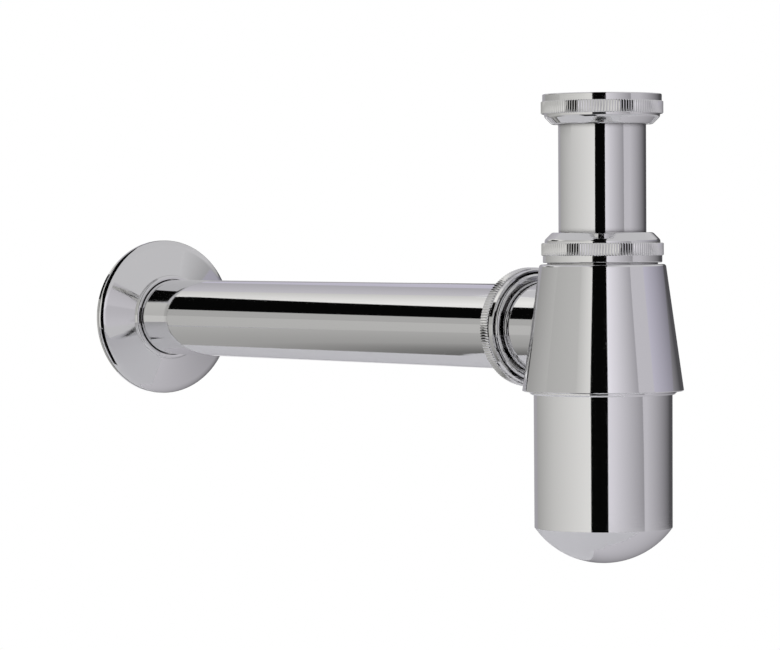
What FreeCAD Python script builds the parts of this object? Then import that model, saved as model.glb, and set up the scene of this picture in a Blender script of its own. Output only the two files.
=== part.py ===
# A chromed brass bottle trap for a wash basin, with its outlet tube and wall flange.
# Millimetres. The origin is the centre of the inlet seat, where the basin's waste lands.
# +Z runs up along the bottle, and the outlet tube runs along -X to the wall.
import FreeCAD, Part
import math
import os

# Tubes
tube_diameter = 32.0
tube_wall = 1.0
inlet_tube_length = 146.0
outlet_tube_length = 300.0
lip_width = 3.0
lip_thickness = 1.4
lip_bend = 1.0

# Knurled nut, the same for the inlet and for both slip joints
nut_height = 11.0
nut_web = 2.2
nut_ring_diameter = 43.5
nut_shoulder_diameter = 42.2
nut_shoulder_height = 3.8
nut_shoulder_bevel = 2.7
nut_shoulder_round = 1.5
nut_edge_round = 0.4
nut_hole_gap = 1.2
nut_mouth_bevel = 0.6
knurl_diameter = 44.6
knurl_height = 4.6
knurl_depth = 0.3
knurl_count = 134
knurl_crest_share = 0.15

# Threads, drawn as plain walls at their pitch diameter: G 1 1/4 on the nuts, G 1 1/2 on the cup
nut_thread_diameter = 40.4
nut_thread_core_diameter = 39.0
cup_thread_diameter = 46.3
thread_clearance = 0.05

# Seals and washers
gasket_thickness = 2.0
gasket_inset = 0.3
slip_washer_thickness = 1.5
seal_proud = 2.1
seal_depth = 4.6
seal_clearance = 0.1
cup_seal_thickness = 1.3
cup_seal_width = 2.2
seal_stretch = 0.05

# Necks for the slip joints
neck_length = 5.7
neck_bore_gap = 0.35
neck_seat_depth = 5.0
neck_seat_narrowing = 2.3
neck_rim = 1.0

# Trap body
neck_drop = 50.9
cone_top_diameter = 46.1
cone_rim_diameter = 59.0
cone_height = 46.2
cone_edge_round = 1.0
cone_wall = 2.2
cone_roof = 2.4
cone_floor = 3.0
lower_neck_length = 9.5
lower_neck_wall = 2.25

# Outlet spigot, brazed in the cone's side
outlet_drop = 23.6
spigot_reach = 44.1
spigot_diameter = 35.6
spigot_collar_round = 1.2
spigot_undercut_width = 0.8
spigot_undercut_depth = 1.2
braze_gap = 0.05
outlet_tube_start = 30.0

# Cup
cup_diameter = 50.6
cup_foot_diameter = 50.4
cup_length = 62.7
cup_wall = 1.6
cup_bead_diameter = 53.6
cup_bead_height = 1.1
cup_bead_bevel = 0.6
cup_thread_length = 10.5
dome_height = 13.0

# Wall flange
flange_diameter = 66.0
flange_sheet = 1.2
flange_edge_height = 1.5
flange_shoulder_diameter = 63.7
flange_shoulder_height = 2.8
flange_shoulder_round = 6.0
flange_depth = 6.8
flange_collar_wall = 1.9
flange_collar_height = 1.6
flange_bore_gap = 0.1
tube_past_wall = 15.7

# Play between faces that slide on each other, and the small rounds on turned edges
play = 0.05
fine_round = 0.4

# Worked out from the sizes above
tube_radius = tube_diameter / 2
tube_bore_radius = tube_radius - tube_wall
lip_radius = tube_radius + lip_width
nut_thread_radius = nut_thread_diameter / 2
nut_pocket_radius = nut_thread_core_diameter / 2
neck_bore_radius = tube_radius + neck_bore_gap
neck_mouth_radius = nut_thread_radius - neck_rim
seal_bore_radius = tube_radius + seal_stretch
cup_thread_radius = cup_thread_diameter / 2
spigot_radius = spigot_diameter / 2

lip_top = -gasket_thickness
lip_bottom = lip_top - lip_thickness
inlet_nut_web_face = lip_bottom - play - nut_web
neck_end = -neck_drop
cone_top = neck_end - neck_length
cone_rim = cone_top - cone_height
outlet_height = cone_top - outlet_drop
cup_rim = cone_rim - 2 * play
wall_distance = outlet_tube_start + outlet_tube_length - tube_past_wall

# How far a slip joint's washer and nut lie beyond the end of the neck
washer_start = seal_proud + play
washer_end = washer_start + slip_washer_thickness
slip_nut_web_face = washer_end + play + nut_web

UP = FreeCAD.Vector(0, 0, 1)
CENTRE = FreeCAD.Vector(0, 0, 0)
ACROSS = FreeCAD.Vector(0, 1, 0)


def at(radius, height):
    """A point of a turned piece's half section."""
    return FreeCAD.Vector(radius, 0, height)


def rounded_corner(before, corner, after, radius):
    """Where a round of this radius leaves the two lines of a corner, and its middle point."""
    back = before.sub(corner).normalize()
    ahead = after.sub(corner).normalize()
    half_angle = back.getAngle(ahead) / 2
    reach = radius / math.tan(half_angle)
    bisector = back.add(ahead).normalize()
    middle = corner.add(bisector * (radius / math.sin(half_angle) - radius))
    return corner.add(back * reach), middle, corner.add(ahead * reach)


def turned(*outline):
    """A solid turned about Z. Each corner is (radius, height) or (radius, height, round)."""
    corners = [at(corner[0], corner[1]) for corner in outline]
    rounds = [corner[2] if len(corner) > 2 else 0 for corner in outline]
    edges = []
    bends = []
    for i, corner in enumerate(corners):
        before = corners[i - 1]
        after = corners[(i + 1) % len(corners)]
        if rounds[i]:
            bends.append(rounded_corner(before, corner, after, rounds[i]))
        else:
            bends.append((corner, None, corner))
    for i, (start, middle, end) in enumerate(bends):
        if middle:
            edges.append(Part.Arc(start, middle, end).toShape())
        edges.append(Part.LineSegment(end, bends[(i + 1) % len(bends)][0]).toShape())
    return spun(edges)


def spun(edges):
    """The solid that a closed half section sweeps in one turn about Z."""
    section = Part.Face(Part.Wire(edges))
    return section.revolve(CENTRE, UP, 360)


def ring(inner_radius, outer_radius, bottom, top):
    """A plain ring, such as a washer or a length of tube."""
    return turned((inner_radius, bottom), (outer_radius, bottom), (outer_radius, top), (inner_radius, top))


def placed(shape, origin, turn=None):
    """A copy of the shape, turned and moved to its place."""
    copy = shape.copy()
    copy.Placement = FreeCAD.Placement(origin, turn or FreeCAD.Rotation())
    return copy


def knurl_band():
    """The nut's grip: a ring with V flutes cut all round its rim."""
    crest_radius = knurl_diameter / 2
    root_radius = crest_radius - knurl_depth
    step = 2 * math.pi / knurl_count
    crest = step * knurl_crest_share / 2
    rim = []
    for tooth in range(knurl_count):
        middle = tooth * step
        for angle, radius in ((middle - crest, crest_radius), (middle + crest, crest_radius),
                              (middle + step / 2, root_radius)):
            rim.append(FreeCAD.Vector(radius * math.cos(angle), radius * math.sin(angle), 0))
    outside = Part.Face(Part.makePolygon(rim + rim[:1]))
    inside = Part.makeCylinder(nut_thread_radius + thread_clearance, knurl_height)
    return outside.extrude(UP * knurl_height).cut(inside)


def knurled_nut():
    """The nut with its web's outer face at height 0 and its thread opening upward."""
    hole = tube_radius + nut_hole_gap
    bore = nut_thread_radius + thread_clearance
    shoulder = nut_shoulder_diameter / 2
    ring_radius = nut_ring_diameter / 2
    pocket_top = nut_web + play + lip_thickness + gasket_thickness
    blank = turned(
        (hole, 0, fine_round),
        (shoulder - nut_shoulder_bevel, 0, nut_shoulder_round),
        (shoulder, nut_shoulder_bevel, nut_shoulder_round),
        (shoulder, nut_shoulder_height),
        (ring_radius, nut_shoulder_height),
        (ring_radius, nut_height, nut_edge_round),
        (bore + nut_mouth_bevel, nut_height),
        (bore, nut_height - nut_mouth_bevel),
        (bore, pocket_top),
        (nut_pocket_radius, pocket_top),
        (nut_pocket_radius, nut_web),
        (hole, nut_web),
    )
    band = placed(knurl_band(), UP * nut_shoulder_height)
    return blank.fuse(band).removeSplitter()


def neck_seat(floor):
    """The inside of a slip joint's neck as outline corners, from its mouth at 0 down to the floor."""
    return [
        (neck_bore_radius, floor),
        (neck_bore_radius, -neck_seat_depth),
        (neck_mouth_radius - neck_seat_narrowing, -neck_seat_depth),
        (neck_mouth_radius, 0),
        (nut_thread_radius, 0, fine_round),
    ]


def tapered_seal():
    """The rubber ring of a slip joint: a wedge in the neck's seat that stands proud of the neck."""
    seat_slope = neck_seat_narrowing / neck_seat_depth
    mouth = neck_mouth_radius - seal_clearance
    return turned(
        (seal_bore_radius, -seal_depth),
        (mouth - seat_slope * seal_depth, -seal_depth),
        (mouth, 0),
        (mouth, seal_proud, fine_round),
        (seal_bore_radius, seal_proud),
    )


def slip_washer():
    """The hard ring between a slip joint's seal and its nut."""
    return ring(seal_bore_radius, nut_pocket_radius - gasket_inset, washer_start, washer_end)


def inlet_tube():
    foot = lip_top - inlet_tube_length
    return turned(
        (tube_bore_radius, foot),
        (tube_radius, foot),
        (tube_radius, lip_bottom, lip_bend),
        (lip_radius, lip_bottom, fine_round),
        (lip_radius, lip_top, fine_round),
        (tube_bore_radius, lip_top, lip_bend),
    )


def outlet_tube():
    return ring(tube_bore_radius, tube_radius, 0, outlet_tube_length)


def chamber():
    """The hollow of the trap body, between its roof and its floor."""
    slope = (cone_rim_diameter - cone_top_diameter) / 2 / cone_height
    roof = cone_top - cone_roof
    floor = cone_rim + cone_floor
    roof_radius = cone_top_diameter / 2 + slope * cone_roof - cone_wall
    floor_radius = cone_rim_diameter / 2 - slope * cone_floor - cone_wall
    return turned((0, floor), (floor_radius, floor), (roof_radius, roof), (0, roof))


def trap_body():
    seat = neck_seat(-neck_length - cone_roof)
    neck = [(corner[0], corner[1] + neck_end, *corner[2:]) for corner in seat]
    lower_end = cone_rim - lower_neck_length
    lower_bore = cup_thread_radius - lower_neck_wall
    groove_radius = cup_thread_radius + cup_seal_width + 2 * seal_clearance
    groove_top = cone_rim + cup_seal_thickness - play
    casting = turned(
        *neck,
        (nut_thread_radius, cone_top),
        (cone_top_diameter / 2, cone_top, cone_edge_round),
        (cone_rim_diameter / 2, cone_rim, fine_round),
        (groove_radius, cone_rim),
        (groove_radius, groove_top),
        (cup_thread_radius, groove_top),
        (cup_thread_radius, lower_end, fine_round),
        (lower_bore, lower_end),
        (lower_bore, cone_rim + cone_floor),
        (neck_bore_radius, cone_rim + cone_floor),
    )
    side_hole = outlet_cylinder(spigot_radius + braze_gap, spigot_reach)
    return casting.cut(chamber()).cut(side_hole)


def outlet_cylinder(radius, reach):
    """A plain cylinder from the bottle's axis out along the outlet."""
    return Part.makeCylinder(radius, reach, at(0, outlet_height), FreeCAD.Vector(-1, 0, 0))


def outlet_spigot():
    collar_back = -neck_length
    undercut_radius = spigot_radius + spigot_undercut_width
    undercut_end = collar_back + spigot_undercut_depth
    bush = turned(
        *neck_seat(-spigot_reach),
        (nut_thread_radius, collar_back, spigot_collar_round),
        (undercut_radius, collar_back),
        (undercut_radius, undercut_end),
        (spigot_radius, undercut_end),
        (spigot_radius, -spigot_reach),
    )
    return placed(bush, at(-spigot_reach, outlet_height), OUTWARD).cut(chamber())


def cup():
    rim_radius = cup_thread_radius + thread_clearance
    outer_radius = cup_diameter / 2
    foot_radius = cup_foot_diameter / 2
    bead_radius = cup_bead_diameter / 2
    bead_bottom = cup_rim - cup_bead_height
    thread_end = cup_rim - cup_thread_length
    dome_radius = (foot_radius ** 2 + dome_height ** 2) / (2 * dome_height)
    dome_centre = cup_rim - cup_length + dome_radius

    def dome_arc(radius, edge_radius):
        """Half a dome's section, from its middle to its edge."""
        edge_angle = math.asin(edge_radius / radius)
        points = [
            at(radius * math.sin(angle), dome_centre - radius * math.cos(angle))
            for angle in (0, edge_angle / 2, edge_angle)
        ]
        return points[0], points[2], Part.Arc(*points).toShape()

    inner_middle, inner_edge, inner_arc = dome_arc(dome_radius - cup_wall, foot_radius - cup_wall)
    outer_middle, outer_edge, outer_arc = dome_arc(dome_radius, foot_radius)
    wall = [
        inner_edge,
        at(outer_radius - cup_wall, thread_end),
        at(rim_radius, thread_end),
        at(rim_radius, cup_rim),
        at(bead_radius, cup_rim),
        at(bead_radius, bead_bottom + cup_bead_bevel),
        at(bead_radius - cup_bead_bevel, bead_bottom),
        at(outer_radius, bead_bottom),
        outer_edge,
    ]
    lines = [Part.LineSegment(start, end).toShape() for start, end in zip(wall, wall[1:])]
    middle = Part.LineSegment(outer_middle, inner_middle).toShape()
    return spun([inner_arc, *lines, outer_arc, middle])


def wall_flange():
    """The cover plate with its back on the wall at height 0, sloping up to a collar round the tube."""
    bore = tube_radius + flange_bore_gap
    collar = bore + flange_collar_wall
    collar_top = flange_depth + flange_collar_height
    rim = flange_diameter / 2
    shoulder = flange_shoulder_diameter / 2
    return turned(
        (rim - flange_sheet, 0),
        (rim, 0),
        (rim, flange_edge_height, fine_round),
        (shoulder, flange_shoulder_height, flange_shoulder_round),
        (collar, flange_depth, fine_round),
        (collar, collar_top, flange_collar_wall / 2),
        (bore, collar_top, fine_round),
        (bore, flange_depth - flange_sheet),
        (shoulder - flange_sheet, flange_shoulder_height - flange_sheet),
        (rim - flange_sheet, flange_edge_height - flange_sheet),
    )


# How a piece that is drawn upright is laid along the outlet, pointing to the wall or to the bottle
OUTWARD = FreeCAD.Rotation(ACROSS, -90)
INWARD = FreeCAD.Rotation(ACROSS, 90)
FLIPPED = FreeCAD.Rotation(ACROSS, 180)

nut = knurled_nut()
washer = slip_washer()
seal = tapered_seal()
neck_place = at(0, neck_end)
spigot_place = at(-spigot_reach, outlet_height)

pieces = {
    "inlet_nut": placed(nut, at(0, inlet_nut_web_face)),
    "inlet_gasket": ring(tube_bore_radius, lip_radius, lip_top, 0),
    "inlet_tube": inlet_tube(),
    "tube_nut": placed(nut, at(0, neck_end + slip_nut_web_face), FLIPPED),
    "tube_slip_washer": placed(washer, neck_place),
    "tube_seal": placed(seal, neck_place),
    "trap_body": trap_body(),
    "outlet_spigot": outlet_spigot(),
    "outlet_nut": placed(nut, at(-spigot_reach - slip_nut_web_face, outlet_height), INWARD),
    "outlet_slip_washer": placed(washer, spigot_place, OUTWARD),
    "outlet_seal": placed(seal, spigot_place, OUTWARD),
    "outlet_tube": placed(outlet_tube(), at(-outlet_tube_start, outlet_height), OUTWARD),
    "wall_flange": placed(wall_flange(), at(-wall_distance, outlet_height), INWARD),
    "cup_seal": ring(
        cup_thread_radius + seal_clearance,
        cup_thread_radius + seal_clearance + cup_seal_width,
        cone_rim - play,
        cone_rim - play + cup_seal_thickness - play,
    ),
    "cup": cup(),
}

os.makedirs("parts", exist_ok=True)
for name, shape in pieces.items():
    solid = shape.Solids[0] if len(shape.Solids) == 1 else shape
    solid.exportStep(f"parts/{name}.step")
    print(f"{name}: {len(shape.Solids)} solid, {shape.Volume / 1000:.2f} cm3, valid {shape.isValid()}")
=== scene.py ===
# %% [markdown]
# # A chromed bottle trap for a wash basin
#
# The CAD model gives the frame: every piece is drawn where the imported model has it, and moves
# with the same body. This script turns the chrome pieces again, finer than the CAD mesh and with
# their threads, gives every piece a real finish, and sets up a small studio round them.
#
# The steps: load the frame, draw half sections, turn them, cut threads and grips, mix the
# finishes, build the studio, place the camera.

# %% Load the frame
import cmath
import math

import bpy
import numpy as np
from mathutils import Matrix, Vector


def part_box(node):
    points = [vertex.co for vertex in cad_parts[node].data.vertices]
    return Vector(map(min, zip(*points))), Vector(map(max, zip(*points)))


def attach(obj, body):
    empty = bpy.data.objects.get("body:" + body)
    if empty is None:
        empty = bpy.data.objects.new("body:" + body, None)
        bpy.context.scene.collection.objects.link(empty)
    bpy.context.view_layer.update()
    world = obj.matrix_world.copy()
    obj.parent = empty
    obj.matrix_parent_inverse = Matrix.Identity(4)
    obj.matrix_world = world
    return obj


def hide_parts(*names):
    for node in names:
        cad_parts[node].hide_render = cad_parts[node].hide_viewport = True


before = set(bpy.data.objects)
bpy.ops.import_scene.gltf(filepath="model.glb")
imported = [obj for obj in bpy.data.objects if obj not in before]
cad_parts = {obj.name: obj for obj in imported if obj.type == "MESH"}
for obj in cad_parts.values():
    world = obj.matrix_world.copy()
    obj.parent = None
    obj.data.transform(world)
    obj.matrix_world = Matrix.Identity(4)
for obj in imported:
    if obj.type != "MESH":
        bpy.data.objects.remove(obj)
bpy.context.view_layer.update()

MM = 0.001
print("pieces in the frame:", len(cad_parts))

# %% [markdown]
# ## Sizes
#
# Millimetres, as on the drawing. Places and lengths along the trap are read from the frame's
# boxes, so only wall thicknesses, rounds and threads are named here.

# %% Sizes
TUBE_RADIUS = 16.0
TUBE_WALL = 1.0
FINE_ROUND = 0.4
TUBE_END_ROUND = 0.25
LIP_THICKNESS = 1.4
LIP_ROUND = 1.0

# The union nut and the two slip nuts are the same nut
NUT_HOLE = 17.2
NUT_WEB = 2.2
NUT_SHOULDER = 21.1
NUT_SHOULDER_HEIGHT = 3.8
NUT_SHOULDER_BEVEL = 2.7
NUT_SHOULDER_ROUND = 1.5
NUT_RING = 21.75
NUT_POCKET = 19.5
NUT_POCKET_TOP = 5.65
NUT_MOUTH_BEVEL = 0.6
KNURL_HEIGHT = 4.6
KNURL_DEPTH = 0.3
KNURL_COUNT = 134
KNURL_CREST_SHARE = 0.15
KNURL_BEVEL = 0.25

# Threads keep to their own side of the pitch diameter, so that they turn freely in each other
THREAD_PITCH = 2.309
THREAD_DEPTH = 0.7
NUT_THREAD = 20.2
CUP_THREAD = 23.15
THREAD_CLEARANCE = 0.05
THREAD_STOP = 0.3

# Necks with a tapered seat for the rubber seal
NECK_LENGTH = 5.7
NECK_BORE = 16.35
NECK_MOUTH = 19.2
SEAT_DEPTH = 5.0
SEAT_NARROWING = 2.3

# Conical body
CONE_TOP = 23.05
CONE_RIM = 29.5
CONE_HEIGHT = 46.2
CONE_SHOULDER_ROUND = 1.0
CONE_WALL = 2.2
CONE_ROOF = 2.4
CONE_FLOOR = 3.0
LOWER_NECK = 9.5
LOWER_BORE = 20.9
SEAL_GROOVE = 25.55
SEAL_GROOVE_DEPTH = 1.25

# Outlet spigot
SPIGOT = 17.8
COLLAR_ROUND = 1.2
UNDERCUT_RADIUS = 18.6
UNDERCUT_DEPTH = 1.2
UNDERCUT_ROUND = 0.15
SPIGOT_START = 14.0
CUTTER_LENGTH = 60.0

# Cup
CUP_RADIUS = 25.3
CUP_FOOT = 25.2
CUP_WALL = 1.6
CUP_BEAD = 26.8
CUP_BEAD_HEIGHT = 1.1
CUP_BEAD_BEVEL = 0.6
CUP_THREAD_LENGTH = 10.5
DOME_HEIGHT = 13.0

# Wall flange
FLANGE_RADIUS = 33.0
FLANGE_EDGE = 1.5
FLANGE_SHEET = 1.2
FLANGE_BACK_ROUND = 2.0
FLANGE_SHOULDER = 31.85
FLANGE_SHOULDER_HEIGHT = 2.8
FLANGE_SHOULDER_ROUND = 6.0
FLANGE_DEPTH = 6.8
FLANGE_BORE = 16.1
FLANGE_COLLAR = 18.0
FLANGE_COLLAR_HEIGHT = 1.6

# %% [markdown]
# ## Half sections
#
# A turned piece is a closed outline in the plane of radius and height, swept round its axis. A
# point is one complex number, radius + height·j, so a direction is turned by multiplying it.
# Going anticlockwise round the outline, the outside lies to the right of the way ahead.

# %% Half sections
RIGHT = -1j
ROUND_STEPS = 8


def ends_of(start, end, bend):
    """The directions in which a stretch leaves its start and reaches its end.

    A bend is the radius of an arc: above 0 it bulges out of the material, below 0 into it."""
    along = (end - start) / abs(end - start)
    half = math.asin(abs(end - start) / 2 / bend) if bend else 0
    return along * cmath.exp(-1j * half), along * cmath.exp(1j * half)


def arc_rows(start, normal, turn, radius, steps):
    """Rows along an arc that begins at start, where the surface faces along normal."""
    centre = start - normal * radius
    rows = []
    for step in range(steps + 1):
        facing = normal * cmath.exp(1j * turn * step / steps)
        rows.append((centre + facing * radius, facing, facing))
    return rows


def section(*outline):
    """Rows (point, facing before it, facing after it) round a closed outline.

    Each corner is (radius, height), then a round and a bend to the next corner if it has any."""
    corners = [(complex(corner[0], corner[1]), *corner[2:], 0, 0)[:3] for corner in outline]
    count = len(corners)
    stretches = [
        ends_of(point, corners[(i + 1) % count][0], bend)
        for i, (point, _, bend) in enumerate(corners)
    ]
    rows = []
    for i, (point, fillet, bend) in enumerate(corners):
        before = stretches[i - 1][1]
        after = stretches[i][0]
        if fillet:
            turn = cmath.phase(after / before)
            start = point - before * fillet * math.tan(abs(turn) / 2)
            rows += arc_rows(start, before * RIGHT, turn, math.copysign(fillet, turn), ROUND_STEPS)
        else:
            rows.append((point, before * RIGHT, after * RIGHT))
        if bend:
            turn = cmath.phase(stretches[i][1] / after)
            rows += arc_rows(point, after * RIGHT, turn, bend, 4 * ROUND_STEPS)[1:-1]
    return rows


def along(radius, start, end, step=THREAD_PITCH / 10):
    """Corners at small steps up or down a straight wall, for a thread to be cut in."""
    count = math.ceil(abs(end - start) / step)
    return [(radius, start + (end - start) * i / count) for i in range(count + 1)]


# %% [markdown]
# ## Tools that cut the turned surface
#
# A tool takes the radius of every point and gives the radius it leaves there. A thread goes round
# as a helix and fades out at its inner end, and a knurl is a row of V flutes.

# %% Thread and knurl tools
def thread(radius, start, end, depth):
    """A thread that starts at full depth and runs out at its end. A depth below 0 cuts outward."""

    def tool(radii, heights, angles):
        turns = heights / THREAD_PITCH - angles / (2 * math.pi)
        wave = np.abs(turns % 1 * 2 - 1)
        form = wave * wave * (3 - 2 * wave)
        run_out = np.clip((end - heights) / (end - start) * abs(end - start) / THREAD_PITCH, 0, 1)
        cut = radius - depth * form * run_out
        inside = (heights > min(start, end) - 1e-6) & (heights < max(start, end) + 1e-6)
        left = np.minimum(radii, cut) if depth > 0 else np.maximum(radii, cut)
        return np.where(inside, left, radii)

    return tool


def knurl(crest, low, high):
    """V flutes all round a nut's grip."""

    def tool(radii, heights, angles):
        tooth = np.abs(angles / (2 * math.pi) * KNURL_COUNT % 1 * 2 - 1)
        flank = np.clip((tooth - KNURL_CREST_SHARE) / (1 - KNURL_CREST_SHARE), 0, 1)
        inside = (heights > low) & (heights < high)
        return np.where(inside, np.minimum(radii, crest - KNURL_DEPTH * flank), radii)

    return tool


# %% [markdown]
# ## Turning a section into a mesh
#
# Polished chrome shows every error in a surface's direction. So each face takes its corner
# normals from the section's own curve, and not from the mesh, wherever it lies on the section.
# Faces that a tool cut keep the mesh's normals.

# %% Turning
# A face this near to the section, in mm, counts as lying on it
SMALL = 0.012
FACING_WEIGHT = 0.05
SHARP_ANGLE = math.radians(30)


def side_view(points):
    """Radius + height·j of points given in the piece's own axes, in mm."""
    return np.hypot(points[:, 0], points[:, 1]) + 1j * points[:, 2]


def shade(mesh, rows):
    """Gives each face on the section the section's own normals."""
    mesh.shade_smooth()
    mesh.set_sharp_from_angle(angle=SHARP_ANGLE)
    starts = np.array([row[0] for row in rows])
    ends = np.roll(starts, -1)
    facings = np.array([row[2] for row in rows]), np.roll([row[1] for row in rows], -1)
    lengths = np.maximum(np.abs(ends - starts), 1e-9)
    along_bands = (ends - starts) / lengths

    points = read(mesh.vertices, "co", 3) / MM
    centres = side_view(read(mesh.polygons, "center", 3) / MM)
    faces = read(mesh.polygons, "normal", 3)
    around = read(mesh.polygons, "center", 3)[:, :2]
    around /= np.maximum(np.linalg.norm(around, axis=1, keepdims=True), 1e-12)
    flat = (faces[:, :2] * around).sum(1) + 1j * faces[:, 2]

    offsets = (centres[:, None] - starts) * along_bands.conj()
    beyond = np.maximum(np.abs(offsets.real - lengths / 2) - lengths / 2, 0)
    facing_off = np.abs(flat[:, None] - along_bands * RIGHT)
    misfit = np.hypot(beyond, offsets.imag) + FACING_WEIGHT * facing_off
    bands = misfit.argmin(1)
    on_section = misfit.min(1) < SMALL

    loops = np.zeros(len(mesh.loops), int)
    mesh.loops.foreach_get("vertex_index", loops)
    totals = np.zeros(len(mesh.polygons), int)
    mesh.polygons.foreach_get("loop_total", totals)
    loop_bands = np.repeat(bands, totals)
    corners = points[loops]
    share = ((side_view(corners) - starts[loop_bands]) * along_bands[loop_bands].conj()).real
    share = np.clip(share / lengths[loop_bands], 0, 1)
    facing = facings[0][loop_bands] * (1 - share) + facings[1][loop_bands] * share
    directions = np.arctan2(corners[:, 1], corners[:, 0])
    normals = np.stack(
        [facing.real * np.cos(directions), facing.real * np.sin(directions), facing.imag], 1
    )
    normals /= np.linalg.norm(normals, axis=1, keepdims=True)
    normals[~np.repeat(on_section, totals)] = 0
    mesh.normals_split_custom_set(normals)
    return on_section.mean()


def read(items, name, width):
    """One of a mesh's own arrays, as rows of numbers."""
    values = np.zeros(len(items) * width)
    items.foreach_get(name, values)
    return values.reshape(-1, width)


def turned(name, rows, tools=(), segments=256):
    """A closed solid of revolution about Z, with its section's rows and any tool's cuts."""
    angles = np.linspace(0, 2 * math.pi, segments, endpoint=False)
    radii = np.array([row[0].real for row in rows])[:, None].repeat(segments, 1)
    heights = np.array([row[0].imag for row in rows])[:, None].repeat(segments, 1)
    for tool in tools:
        radii = tool(radii, heights, angles)
    points = np.stack([radii * np.cos(angles), radii * np.sin(angles), heights], 2)
    faces = []
    for row in range(len(rows)):
        below = row * segments
        above = (row + 1) % len(rows) * segments
        pole_below = radii[row, 0] == 0
        pole_above = radii[(row + 1) % len(rows), 0] == 0
        for i in range(segments):
            ahead = (i + 1) % segments
            if pole_below and pole_above:
                continue
            if pole_below:
                faces.append((below, above + ahead, above + i))
            elif pole_above:
                faces.append((below + i, below + ahead, above))
            else:
                faces.append((below + i, below + ahead, above + ahead, above + i))
    mesh = bpy.data.meshes.new(name)
    mesh.from_pydata((points.reshape(-1, 3) * MM).tolist(), [], faces)
    piece = bpy.data.objects.new(name, mesh)
    bpy.context.scene.collection.objects.link(piece)
    return piece


def cut_out(piece, *cutters):
    """Takes the cutters out of the piece and removes them."""
    for cutter in cutters:
        step = piece.modifiers.new("cut", "BOOLEAN")
        step.object = cutter
        step.solver = "EXACT"
    graph = bpy.context.evaluated_depsgraph_get()
    piece.data = bpy.data.meshes.new_from_object(piece.evaluated_get(graph))
    piece.modifiers.clear()
    for cutter in cutters:
        bpy.data.objects.remove(cutter)


def turn_to(direction):
    """The rotation that takes +Z to a direction."""
    return Vector((0, 0, 1)).rotation_difference(Vector(direction)).to_matrix().to_4x4()


def lay(piece, origin, direction):
    """Moves an upright piece so that its height 0 is at origin and it points along direction."""
    piece.matrix_world = Matrix.Translation(origin) @ turn_to(direction)
    return piece


# %% [markdown]
# ## Where things are
#
# The pieces' places along the two axes, read from the frame.

# %% Places from the frame
UP = (0, 0, 1)
DOWN = (0, 0, -1)
OUT = (-1, 0, 0)
BACK = (1, 0, 0)
box = {node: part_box(node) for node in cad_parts}
outlet_height = (box["outlet_tube"][0].z + box["outlet_tube"][1].z) / 2


def on_bottle(height):
    return Vector((0, 0, height))


def on_outlet(x):
    return Vector((x, 0, outlet_height))


def length_of(node, axis):
    """A node's length along X (0) or Z (2), in mm."""
    return (box[node][1][axis] - box[node][0][axis]) / MM


# %% [markdown]
# ## Nuts
#
# One nut serves three times. Its shoulder faces down here, its thread opens upward, and the grip
# is a band of fine flutes whose ends are bevelled, so that each flute runs out to a point.

# %% Nuts
def nut(name):
    height = length_of("tube_nut", 2)
    bore = NUT_THREAD + THREAD_CLEARANCE
    crest = length_of("tube_nut", 0) / 2
    grip_end = NUT_SHOULDER_HEIGHT + KNURL_HEIGHT
    rows = section(
        (NUT_HOLE, 0, FINE_ROUND),
        (NUT_SHOULDER - NUT_SHOULDER_BEVEL, 0, NUT_SHOULDER_ROUND),
        (NUT_SHOULDER, NUT_SHOULDER_BEVEL, NUT_SHOULDER_ROUND),
        (NUT_SHOULDER, NUT_SHOULDER_HEIGHT),
        (crest - KNURL_DEPTH, NUT_SHOULDER_HEIGHT),
        (crest, NUT_SHOULDER_HEIGHT + KNURL_BEVEL),
        (crest, grip_end - KNURL_BEVEL),
        (crest - KNURL_DEPTH, grip_end),
        (NUT_RING, grip_end),
        (NUT_RING, height, FINE_ROUND),
        (bore + NUT_MOUTH_BEVEL, height),
        *along(bore, height - NUT_MOUTH_BEVEL, NUT_POCKET_TOP),
        (NUT_POCKET, NUT_POCKET_TOP),
        (NUT_POCKET, NUT_WEB),
        (NUT_HOLE, NUT_WEB),
    )
    tools = [
        knurl(crest, NUT_SHOULDER_HEIGHT, grip_end),
        thread(bore, height, NUT_POCKET_TOP, -THREAD_DEPTH),
    ]
    piece = turned(name, rows, tools, segments=KNURL_COUNT * 6)
    print(name, "flutes:", KNURL_COUNT, "on section:", round(shade(piece.data, rows), 2))
    return piece


union_nut = lay(nut("union_nut"), on_bottle(box["inlet_nut"][0].z), UP)
neck_nut = lay(nut("neck_slip_nut"), on_bottle(box["tube_nut"][1].z), DOWN)
side_nut = lay(nut("outlet_slip_nut"), on_outlet(box["outlet_nut"][0].x), BACK)

# %% [markdown]
# ## Tubes
#
# The inlet tube has a rolled lip that hangs in the union nut. The outlet tube is plain, with its
# cut ends broken by a small round.

# %% Tubes
def inlet_pipe():
    length = length_of("inlet_tube", 2)
    lip = length_of("inlet_tube", 0) / 2
    bore = TUBE_RADIUS - TUBE_WALL
    rows = section(
        (bore, 0, TUBE_END_ROUND),
        (TUBE_RADIUS, 0, TUBE_END_ROUND),
        (TUBE_RADIUS, length - LIP_THICKNESS, LIP_ROUND),
        (lip, length - LIP_THICKNESS, FINE_ROUND),
        (lip, length, FINE_ROUND),
        (bore, length, LIP_ROUND),
    )
    piece = turned("inlet_pipe", rows)
    shade(piece.data, rows)
    return lay(piece, on_bottle(box["inlet_tube"][0].z), UP)


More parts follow.
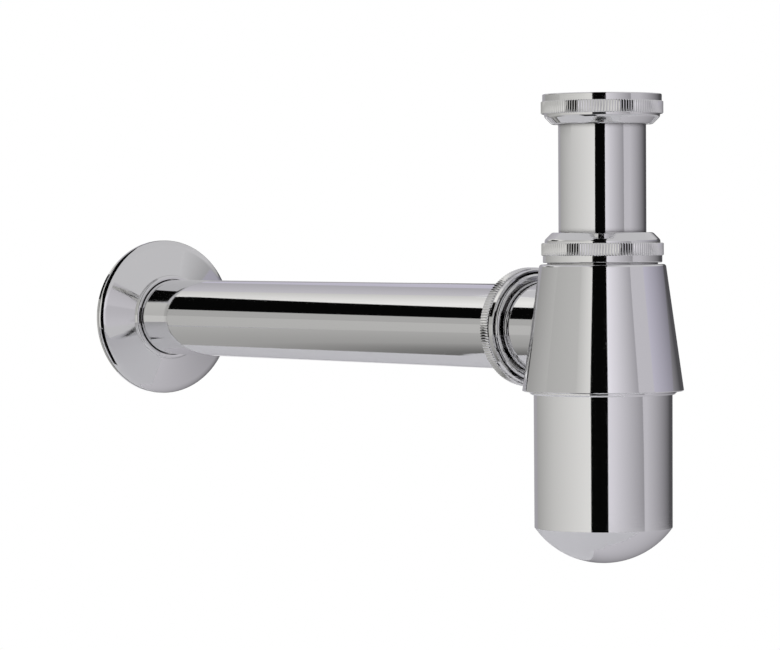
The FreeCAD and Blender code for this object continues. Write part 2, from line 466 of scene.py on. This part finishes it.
def outlet_pipe():
    length = length_of("outlet_tube", 0)
    bore = TUBE_RADIUS - TUBE_WALL
    rows = section(
        (bore, 0, TUBE_END_ROUND),
        (TUBE_RADIUS, 0, TUBE_END_ROUND),
        (TUBE_RADIUS, length, TUBE_END_ROUND),
        (bore, length, TUBE_END_ROUND),
    )
    piece = turned("outlet_pipe", rows)
    shade(piece.data, rows)
    return lay(piece, on_outlet(box["outlet_tube"][1].x), OUT)


dip_tube = inlet_pipe()
side_tube = outlet_pipe()

# %% [markdown]
# ## Body and spigot
#
# The conical body is hollow, with a threaded neck at each end and a hole in its side. The spigot
# goes through that hole and is cut off along the inside of the cone.

# %% Body and spigot
CONE_SLOPE = (CONE_RIM - CONE_TOP) / CONE_HEIGHT
CHAMBER_FLOOR = (CONE_RIM - CONE_SLOPE * CONE_FLOOR - CONE_WALL, LOWER_NECK + CONE_FLOOR)
CHAMBER_ROOF = (
    CONE_TOP + CONE_SLOPE * CONE_ROOF - CONE_WALL,
    LOWER_NECK + CONE_HEIGHT - CONE_ROOF,
)
body_foot = on_bottle(box["trap_body"][0].z)


def seat(mouth):
    """The inside of a neck for a slip joint, down from its mouth."""
    return [
        (NECK_MOUTH, mouth),
        (NECK_MOUTH - SEAT_NARROWING, mouth - SEAT_DEPTH),
        (NECK_BORE, mouth - SEAT_DEPTH),
    ]


def outlet_cutter(radius):
    rows = section((0, 0), (radius, 0), (radius, CUTTER_LENGTH), (0, CUTTER_LENGTH))
    cutter = turned("outlet_cutter", rows)
    height = outlet_height - body_foot.z
    return lay(cutter, Vector((0, 0, height)), OUT)


def cone():
    top = LOWER_NECK + CONE_HEIGHT
    mouth = top + NECK_LENGTH
    rows = section(
        (LOWER_BORE, 0),
        (CUP_THREAD - THREAD_DEPTH, 0),
        *along(CUP_THREAD, THREAD_DEPTH, LOWER_NECK + SEAL_GROOVE_DEPTH),
        (SEAL_GROOVE, LOWER_NECK + SEAL_GROOVE_DEPTH),
        (SEAL_GROOVE, LOWER_NECK),
        (CONE_RIM, LOWER_NECK, FINE_ROUND),
        (CONE_TOP, top, CONE_SHOULDER_ROUND),
        *along(NUT_THREAD, top, mouth - THREAD_DEPTH),
        (NUT_THREAD - THREAD_DEPTH, mouth),
        *seat(mouth),
        (NECK_BORE, CHAMBER_ROOF[1]),
        CHAMBER_ROOF,
        CHAMBER_FLOOR,
        (LOWER_BORE, CHAMBER_FLOOR[1]),
    )
    tools = [
        thread(CUP_THREAD, 0, LOWER_NECK, THREAD_DEPTH),
        thread(NUT_THREAD, mouth, top + THREAD_STOP, THREAD_DEPTH),
    ]
    piece = turned("bottle_cone", rows, tools)
    cut_out(piece, outlet_cutter(SPIGOT + THREAD_CLEARANCE))
    print("cone faces:", len(piece.data.polygons), "on section:", round(shade(piece.data, rows), 2))
    return lay(piece, body_foot, UP)


def spigot():
    reach = (box["trap_body"][1].x - box["outlet_spigot"][0].x) / MM - CONE_RIM
    collar = reach - NECK_LENGTH
    rows = section(
        (NECK_BORE, SPIGOT_START),
        (SPIGOT, SPIGOT_START),
        (SPIGOT, collar + UNDERCUT_DEPTH),
        (UNDERCUT_RADIUS, collar + UNDERCUT_DEPTH),
        (UNDERCUT_RADIUS, collar, UNDERCUT_ROUND),
        (NUT_THREAD, collar, COLLAR_ROUND),
        *along(NUT_THREAD, collar + COLLAR_ROUND, reach - THREAD_DEPTH)[1:],
        (NUT_THREAD - THREAD_DEPTH, reach),
        *seat(reach),
    )
    tools = [thread(NUT_THREAD, reach, collar + COLLAR_ROUND, THREAD_DEPTH)]
    piece = turned("outlet_spigot_bush", rows, tools)
    height = outlet_height - body_foot.z
    bottom, top = CHAMBER_FLOOR, CHAMBER_ROOF
    chamber = turned("chamber", section((0, bottom[1]), bottom, top, (0, top[1])))
    chamber.matrix_world = turn_to(OUT).inverted() @ Matrix.Translation((0, 0, -height))
    cut_out(piece, chamber)
    shade(piece.data, rows)
    return lay(piece, on_outlet(0), OUT)


bottle = cone()
side_spigot = spigot()

# %% [markdown]
# ## Cup
#
# Spun from sheet: a beaded mouth with a thread inside, a plain wall that narrows a little, and a
# domed bottom that meets the wall at a crisp edge.

# %% Cup
def cup():
    length = length_of("cup", 2)
    bore = CUP_THREAD + THREAD_CLEARANCE
    thread_end = length - CUP_THREAD_LENGTH
    bead = length - CUP_BEAD_HEIGHT
    dome = (CUP_FOOT**2 + DOME_HEIGHT**2) / (2 * DOME_HEIGHT)
    inner_dome = dome - CUP_WALL
    inner_foot = CUP_FOOT - CUP_WALL
    rows = section(
        (0, 0, 0, dome),
        (CUP_FOOT, DOME_HEIGHT),
        (CUP_RADIUS, bead),
        (CUP_BEAD - CUP_BEAD_BEVEL, bead),
        (CUP_BEAD, bead + CUP_BEAD_BEVEL),
        (CUP_BEAD, length),
        (bore + CUP_BEAD_BEVEL, length),
        *along(bore, length - CUP_BEAD_BEVEL, thread_end),
        (CUP_RADIUS - CUP_WALL, thread_end),
        (inner_foot, dome - math.sqrt(inner_dome**2 - inner_foot**2), 0, -inner_dome),
        (0, CUP_WALL),
    )
    piece = turned("bottle_cup", rows, [thread(bore, length, thread_end, -THREAD_DEPTH)])
    print("cup on section:", round(shade(piece.data, rows), 2))
    return lay(piece, on_bottle(box["cup"][0].z), UP)


bottle_cup = cup()

# %% [markdown]
# ## Wall flange
#
# A pressed plate: a low rim, a rounded shoulder, a face that rises gently to a short rounded
# collar round the tube, and an open back.

# %% Wall flange
def flange():
    rows = section(
        (FLANGE_RADIUS - FLANGE_SHEET, 0),
        (FLANGE_RADIUS, 0),
        (FLANGE_RADIUS, FLANGE_EDGE, FINE_ROUND),
        (FLANGE_SHOULDER, FLANGE_SHOULDER_HEIGHT, FLANGE_SHOULDER_ROUND),
        (FLANGE_COLLAR, FLANGE_DEPTH, FINE_ROUND),
        (FLANGE_COLLAR, FLANGE_DEPTH + FLANGE_COLLAR_HEIGHT, (FLANGE_COLLAR - FLANGE_BORE) / 2),
        (FLANGE_BORE, FLANGE_DEPTH + FLANGE_COLLAR_HEIGHT, FINE_ROUND),
        (FLANGE_BORE, FLANGE_DEPTH - FLANGE_SHEET),
        (
            FLANGE_SHOULDER - FLANGE_SHEET,
            FLANGE_SHOULDER_HEIGHT - FLANGE_SHEET,
            FLANGE_BACK_ROUND,
        ),
        (FLANGE_RADIUS - FLANGE_SHEET, FLANGE_EDGE - FLANGE_SHEET),
    )
    piece = turned("wall_rosette", rows)
    shade(piece.data, rows)
    return lay(piece, on_outlet(box["wall_flange"][0].x), BACK)


wall_plate = flange()

# %% [markdown]
# ## Finishes
#
# One function adds a node, sets its values and links its inputs. Colours are written as sRGB
# hex and turned to the renderer's linear values in one place.

# %% Node and colour helpers
def linear(hex_colour):
    channels = [int(hex_colour[i : i + 2], 16) / 255 for i in (1, 3, 5)]
    bent = [c / 12.92 if c <= 0.04045 else ((c + 0.055) / 1.055) ** 2.4 for c in channels]
    return (*bent, 1.0)


def add(tree, kind, inputs, **settings):
    """Adds a node. An input is a value or another node's output socket."""
    made = tree.nodes.new(kind)
    for name, value in settings.items():
        setattr(made, name, value)
    for name, value in inputs.items():
        if isinstance(value, bpy.types.NodeSocket):
            tree.links.new(value, made.inputs[name])
        else:
            made.inputs[name].default_value = value
    return made


def new_material(name):
    """A material with an empty node tree, and its Principled shader linked to the output."""
    material = bpy.data.materials.new(name)
    material.use_nodes = True
    tree = material.node_tree
    tree.nodes.clear()
    shader = tree.nodes.new("ShaderNodeBsdfPrincipled")
    add(tree, "ShaderNodeOutputMaterial", {"Surface": shader.outputs["BSDF"]})
    return material, tree, shader


# %% [markdown]
# ## Chrome
#
# Bright chrome plate on brass. Polishing leaves two marks: a very shallow waviness some
# centimetres long, which bends reflections a little, and fine lines along the way the wheel ran,
# which show as a faint change of roughness. Where a surface is shut in by its neighbours, its
# colour is mixed toward a dark brown: painted shade in the crevices.

# %% Chrome
CREVICE_MM = 2.5
# The dark brown that the chrome colour is mixed toward in crevices: painted shade
CREVICE_SHADE = "#2B2621"


def chrome(name, colour, roughness, wave_mm, wave_height_mm, line_scale, crevice=(0.05, 0.35)):
    """line_scale squeezes the noise along each axis (1/m), so it sets which way the lines run.
    crevice is how open a surface is where the painted shade starts to lift, and where it is gone."""
    material, tree, shader = new_material(name)
    place = add(tree, "ShaderNodeTexCoord", {})
    waves = add(
        tree,
        "ShaderNodeTexNoise",
        {"Vector": place.outputs["Object"], "Scale": 1 / (wave_mm * MM), "Detail": 1.0},
    )
    bump = add(
        tree,
        "ShaderNodeBump",
        {"Height": waves.outputs["Fac"], "Strength": 1.0, "Distance": wave_height_mm * MM},
    )
    stretch = add(
        tree,
        "ShaderNodeMapping",
        {"Vector": place.outputs["Object"], "Scale": line_scale},
    )
    lines = add(
        tree,
        "ShaderNodeTexNoise",
        {"Vector": stretch.outputs["Vector"], "Scale": 1.0, "Detail": 3.0, "Roughness": 0.6},
    )
    dullness = add(
        tree,
        "ShaderNodeMapRange",
        {"Value": lines.outputs["Fac"], "From Min": 0.3, "From Max": 0.7,
         "To Min": roughness * 0.6, "To Max": roughness * 1.4},
    )
    # Painted shade: where the Ambient Occlusion node finds the surface shut in, the base colour is
    # mixed toward the dark brown
    openness = add(
        tree,
        "ShaderNodeAmbientOcclusion",
        {"Distance": CREVICE_MM * MM},
        samples=6,
    )
    unshaded_share = add(
        tree,
        "ShaderNodeMapRange",
        {"Value": openness.outputs["AO"], "From Min": crevice[0], "From Max": crevice[1]},
    )
    tone = add(
        tree,
        "ShaderNodeMix",
        {0: unshaded_share.outputs["Result"], 6: linear(CREVICE_SHADE), 7: linear(colour)},
        data_type="RGBA",
    )
    tree.links.new(bump.outputs["Normal"], shader.inputs["Normal"])
    tree.links.new(dullness.outputs["Result"], shader.inputs["Roughness"])
    tree.links.new(tone.outputs[2], shader.inputs["Base Color"])
    shader.inputs["Metallic"].default_value = 1.0
    return material


chrome_body = chrome("chrome_polished_body", "#E7E7E8", 0.05, 30, 0.004, (90, 90, 2500))
chrome_tube = chrome(
    "chrome_drawn_tube", "#E7E7E8", 0.04, 40, 0.004, (300, 300, 300), crevice=(0.5, 0.85)
)
chrome_nut = chrome("chrome_turned_nut", "#E4E4E4", 0.06, 20, 0.002, (200, 200, 3000))
chrome_flange = chrome("chrome_pressed_flange", "#E4E4E4", 0.05, 25, 0.005, (1500, 200, 200))

# %% [markdown]
# ## Rubber and polyethylene
#
# The seals are moulded black rubber with a matt, slightly grainy skin. The two slip washers are
# natural polyethylene, milky and a little waxy.

# %% Rubber and polyethylene
def moulded(name, dark, light, roughness, grain_mm, depth_mm, subsurface=0.0):
    material, tree, shader = new_material(name)
    place = add(tree, "ShaderNodeTexCoord", {})
    grain = add(
        tree,
        "ShaderNodeTexNoise",
        {"Vector": place.outputs["Object"], "Scale": 1 / (grain_mm * MM), "Detail": 4.0},
    )
    tone = add(
        tree,
        "ShaderNodeMix",
        {0: grain.outputs["Fac"], 6: linear(dark), 7: linear(light)},
        data_type="RGBA",
    )
    bump = add(
        tree,
        "ShaderNodeBump",
        {"Height": grain.outputs["Fac"], "Strength": 1.0, "Distance": depth_mm * MM},
    )
    tree.links.new(tone.outputs[2], shader.inputs["Base Color"])
    tree.links.new(bump.outputs["Normal"], shader.inputs["Normal"])
    shader.inputs["Roughness"].default_value = roughness
    shader.inputs["Subsurface Weight"].default_value = subsurface
    shader.inputs["Subsurface Scale"].default_value = 1.5 * MM
    return material


rubber = moulded("rubber_black_moulded", "#202020", "#2C2C2B", 0.6, 0.8, 0.02)
polyethylene = moulded("polyethylene_natural", "#DEDCD4", "#ECEAE4", 0.4, 3.0, 0.01, subsurface=0.3)

# %% [markdown]
# ## Which piece takes which finish
#
# The turned pieces stand for their CAD nodes. The rings inside the joints keep their CAD meshes
# and only take a better material.

# %% Join pieces to the frame
TURNED = [
    (union_nut, "inlet_nut", "inlet_nut", "chrome_nut", chrome_nut),
    (neck_nut, "tube_nut", "tube_nut", "chrome_nut", chrome_nut),
    (side_nut, "outlet_nut", "outlet_nut", "chrome_nut", chrome_nut),
    (dip_tube, "inlet_tube", "inlet_tube", "chrome_tube", chrome_tube),
    (side_tube, "outlet_tube", "outlet_tube", "chrome_tube", chrome_tube),
    (bottle, "trap_body", "trap_body", "chrome_body", chrome_body),
    (side_spigot, "outlet_spigot", "trap_body", "chrome_body", chrome_body),
    (bottle_cup, "cup", "cup", "chrome_body", chrome_body),
    (wall_plate, "wall_flange", "wall_flange", "chrome_flange", chrome_flange),
]
for piece, node, body, slot, material in TURNED:
    piece.data.materials.append(material)
    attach(piece, body)
    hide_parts(node)

RINGS = {
    "inlet_gasket": rubber,
    "tube_seal": rubber,
    "outlet_seal": rubber,
    "cup_seal": rubber,
    "tube_slip_washer": polyethylene,
    "outlet_slip_washer": polyethylene,
}
for node, material in RINGS.items():
    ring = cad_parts[node]
    ring.data.materials.clear()
    ring.data.materials.append(material)
print("turned pieces:", len(TURNED), "rings:", len(RINGS))

# %% [markdown]
# ## Studio
#
# Chrome has no colour of its own: it shows the room. So the room is a set of large soft cards
# on spheres round the trap, each a patch between two azimuths and two elevations whose light
# runs evenly from one level to another. Azimuth is measured from +X toward +Y. The camera
# doesn't see the cards, only the white world behind them.
#
# Four cards are black flags. A tall one behind the camera runs up and over the top, where a
# cap ends it, and a near one in front carries it on below: they draw the dark line down every
# upright surface. The fourth, low above the wall end, draws the line along the outlet tube.

# %% Cards and floor
STUDIO_CENTRE = Vector((-0.1, 0.0, -0.08))
CARD_DISTANCE = 3.0
FLAG_DISTANCE = 2.9
NEAR_DISTANCE = 1.0
CARD_ROWS = 13
CARD_COLUMNS = 25
FLOOR_HEIGHT = -0.6
FLOOR_RADIUS = 2.6
FLOOR_CORNERS = 96


def card(name, azimuths, elevations, levels, colour, run="X", distance=CARD_DISTANCE):
    """A patch of the studio. Its light runs between two levels: across it (X), upward (Y), or
    into its upper right corner (XY).

    A side is an azimuth, or a list of (elevation, azimuth) points if it leans."""
    rows = np.linspace(*elevations, CARD_ROWS)
    vertices = []
    for elevation in rows:
        left, right = [
            np.interp(elevation, *zip(*side)) if isinstance(side, list) else side
            for side in azimuths
        ]
        height = math.sin(math.radians(elevation))
        reach = math.cos(math.radians(elevation))
        columns = np.radians(np.linspace(left, right, CARD_COLUMNS))
        for azimuth in columns:
            point = Vector((math.cos(azimuth) * reach, math.sin(azimuth) * reach, height))
            vertices.append(STUDIO_CENTRE + point * distance)
    faces = []
    for row in range(len(rows) - 1):
        for column in range(len(columns) - 1):
            first = row * len(columns) + column
            above = first + len(columns)
            faces.append((first, first + 1, above + 1, above))
    mesh = bpy.data.meshes.new(name)
    mesh.from_pydata(vertices, [], faces)
    uv = mesh.uv_layers.new(name="UVMap")
    for loop in mesh.loops:
        row, column = divmod(loop.vertex_index, len(columns))
        uv.data[loop.index].uv = (column / (len(columns) - 1), row / (len(rows) - 1))
    patch = bpy.data.objects.new(name, mesh)
    bpy.context.scene.collection.objects.link(patch)
    patch.visible_camera = False
    # A near card is seen in the chrome only, and leaves the light on the floor as it is
    patch.visible_diffuse = patch.visible_shadow = distance > NEAR_DISTANCE

    material = bpy.data.materials.new(name)
    material.use_nodes = True
    tree = material.node_tree
    tree.nodes.clear()
    place = add(tree, "ShaderNodeTexCoord", {})
    split = add(tree, "ShaderNodeSeparateXYZ", {"Vector": place.outputs["UV"]})
    share = add(
        tree,
        "ShaderNodeMath",
        {0: split.outputs[run[0]], 1: split.outputs["Y"] if run == "XY" else 1.0},
        operation="MULTIPLY",
    )
    ramp = add(
        tree,
        "ShaderNodeMapRange",
        {"Value": share.outputs["Value"], "To Min": levels[0], "To Max": levels[1]},
    )
    glow = add(
        tree,
        "ShaderNodeEmission",
        {"Color": linear(colour), "Strength": ramp.outputs["Result"]},
    )
    add(tree, "ShaderNodeOutputMaterial", {"Surface": glow.outputs["Emission"]})
    mesh.materials.append(material)


WARM = "#FFFEFB"
COOL = "#FBF8FF"
VIOLET = "#F2EEFF"
PLAIN = "#FDFCFF"
BLACK = (0.002, 0.002)
SLANT = [(-13, 40), (-3.5, 32), (0.7, 21), (12.9, 13.5), (60, 8)]
SLIT_LEFT = [
    (-20, -56), (-3.5, -55.9), (12.9, -52.3), (25, -61),
    (45, -58), (60, -60), (75, -70), (85, -132),
]
SLIT_RIGHT = [
    (-20, -27), (0.7, -28.7), (12.9, -29.5), (31.5, -28),
    (45, -26), (60, -24), (75, -14), (85, 48),
]
TABLE_LEFT = [(-58, -76), (-45, -72), (-30, -74), (-14, -74)]
TABLE_RIGHT = [(-58, -44), (-45, -38), (-30, -41), (-14, -43)]
card("left_softbox_far_low", (-180, -125), (-13, 3), (0.40, 0.64), WARM)
card("left_softbox_far_high", (-180, -125), (3, 12), (0.36, 0.53), WARM)
card("left_softbox_low", (-125, -53), (-13, 4), (0.64, 0.87), WARM)
card("left_softbox_high", (-125, -74), (4, 36), (0.5, 0.57), WARM)
card("left_softbox_edge", (-74, -50), (4, 36), (0.6, 0.88), WARM)
card("slit", (SLIT_LEFT, SLIT_RIGHT), (-20, 85), BLACK, WARM, distance=FLAG_DISTANCE)
card("slit_top", (-180, 180), (85, 90), BLACK, WARM, distance=FLAG_DISTANCE)
card("table_front", (TABLE_LEFT, TABLE_RIGHT), (-58, -14), BLACK, WARM, distance=0.55)
card("ceiling", (-180, 180), (36, 90), (0.64, 0.64), PLAIN)
card("right_softbox_low", (-30, SLANT), (-6, 5), (0.88, 0.36), COOL)
card("right_softbox_high", (-30, SLANT), (5, 16), (1.0, 0.42), COOL)
card("side_wall_near", (SLANT, 40), (-6, 16), (0.63, 0.62), COOL)
card("side_wall_far_low", (40, 105), (-6, 5), (0.61, 0.1), COOL)
card("side_wall_far_high", (40, 105), (5, 16), (0.65, 0.2), VIOLET)
card("side_wall_top", (-30, 146), (26, 36), (0.65, 0.65), PLAIN)
card("side_wall_top_left", (-30, 35), (16, 26), (0.65, 0.65), PLAIN)
card("side_wall_blend", (35, 146), (16, 26), (0.42, 0.65), PLAIN, run="Y")
card("side_wall_foot", (-30, 146), (-14, -6), (0.64, 0.6), PLAIN)
card("side_wall_low", (40, 140), (-82, -14), (0.62, 0.12), COOL, run="XY", distance=0.5)
card("back_wall_right", (105, 146), (-6, 16), (0.09, 0.09), COOL)
card("back_wall_middle", (146, 180), (-8, 14), (0.42, 0.42), COOL)
card("back_wall_high_far", (146, 157), (14, 36), (0.64, 0.64), VIOLET)
card("back_wall_high", (157, 180), (14, 36), (0.46, 0.64), COOL)
card("wall_end_flag", (-168, -140), (12, 27.3), BLACK, WARM, distance=FLAG_DISTANCE)
card("wall_end_softbox", (-180, -160), (12, 36), (0.66, 0.97), WARM)
card("wall_end_softbox_near", (-160, -125), (12, 36), (0.97, 0.7), WARM)
card("wall_end_shade", (-180, -125), (-27, -11), (0.39, 0.48), WARM, run="Y", distance=0.8)
card("wall_end_shade_low", (-180, -125), (-37, -27), (0.16, 0.39), WARM, run="Y", distance=0.8)


def floor():
    mesh = bpy.data.meshes.new("floor")
    rim = [
        (
            STUDIO_CENTRE.x + FLOOR_RADIUS * math.cos(2 * math.pi * i / FLOOR_CORNERS),
            STUDIO_CENTRE.y + FLOOR_RADIUS * math.sin(2 * math.pi * i / FLOOR_CORNERS),
            FLOOR_HEIGHT,
        )
        for i in range(FLOOR_CORNERS)
    ]
    mesh.from_pydata(rim, [], [tuple(range(FLOOR_CORNERS))])
    disc = bpy.data.objects.new("floor", mesh)
    bpy.context.scene.collection.objects.link(disc)
    material, tree, shader = new_material("floor_paper")
    shader.inputs["Base Color"].default_value = linear("#E8E8EB")
    shader.inputs["Roughness"].default_value = 0.9
    mesh.materials.append(material)


floor()

world = bpy.data.worlds.new("white_room")
world.use_nodes = True
world.node_tree.nodes["Background"].inputs["Color"].default_value = (1, 1, 1, 1)
world.node_tree.nodes["Background"].inputs["Strength"].default_value = 1.0
bpy.context.scene.world = world
bpy.context.scene.view_settings.view_transform = "Standard"

lamp_data = bpy.data.lights.new("ceiling_softbox", "AREA")
lamp_data.shape = "RECTANGLE"
lamp_data.size = 1.6
lamp_data.size_y = 1.2
lamp_data.energy = 14
lamp = bpy.data.objects.new("ceiling_softbox", lamp_data)
lamp.visible_glossy = False
lamp.location = (-0.3, -0.4, 1.6)
lamp.rotation_mode = "QUATERNION"
lamp.rotation_quaternion = (STUDIO_CENTRE - lamp.location).to_track_quat("-Z", "Y")
bpy.context.scene.collection.objects.link(lamp)

# %% [markdown]
# ## Camera
#
# The photo was taken from the front right of the outlet, a little above the side tube, with a
# long lens. The distance and the angles come from fitting both 32 mm tubes to the picture.

# %% Camera
CAMERA_PLACE = (1.0945, -0.8333, -0.0467)
CAMERA_AZIMUTH = math.radians(55.95)
CAMERA_PITCH = math.radians(-1.32)
CAMERA_ROLL = math.radians(-0.29)
FOCAL_PIXELS = 3767
PICTURE_WIDTH = 780
SENSOR_WIDTH = 36.0

camera_data = bpy.data.cameras.new("photo_camera")
camera_data.sensor_width = SENSOR_WIDTH
camera_data.lens = FOCAL_PIXELS / PICTURE_WIDTH * SENSOR_WIDTH
camera_data.clip_end = 20
camera = bpy.data.objects.new("photo_camera", camera_data)
aim = Matrix.Rotation(CAMERA_AZIMUTH, 4, "Z")
level = Matrix.Rotation(math.pi / 2 + CAMERA_PITCH, 4, "X")
camera.matrix_world = (
    Matrix.Translation(CAMERA_PLACE) @ aim @ level @ Matrix.Rotation(CAMERA_ROLL, 4, "Z")
)
bpy.context.scene.collection.objects.link(camera)
bpy.context.scene.camera = camera
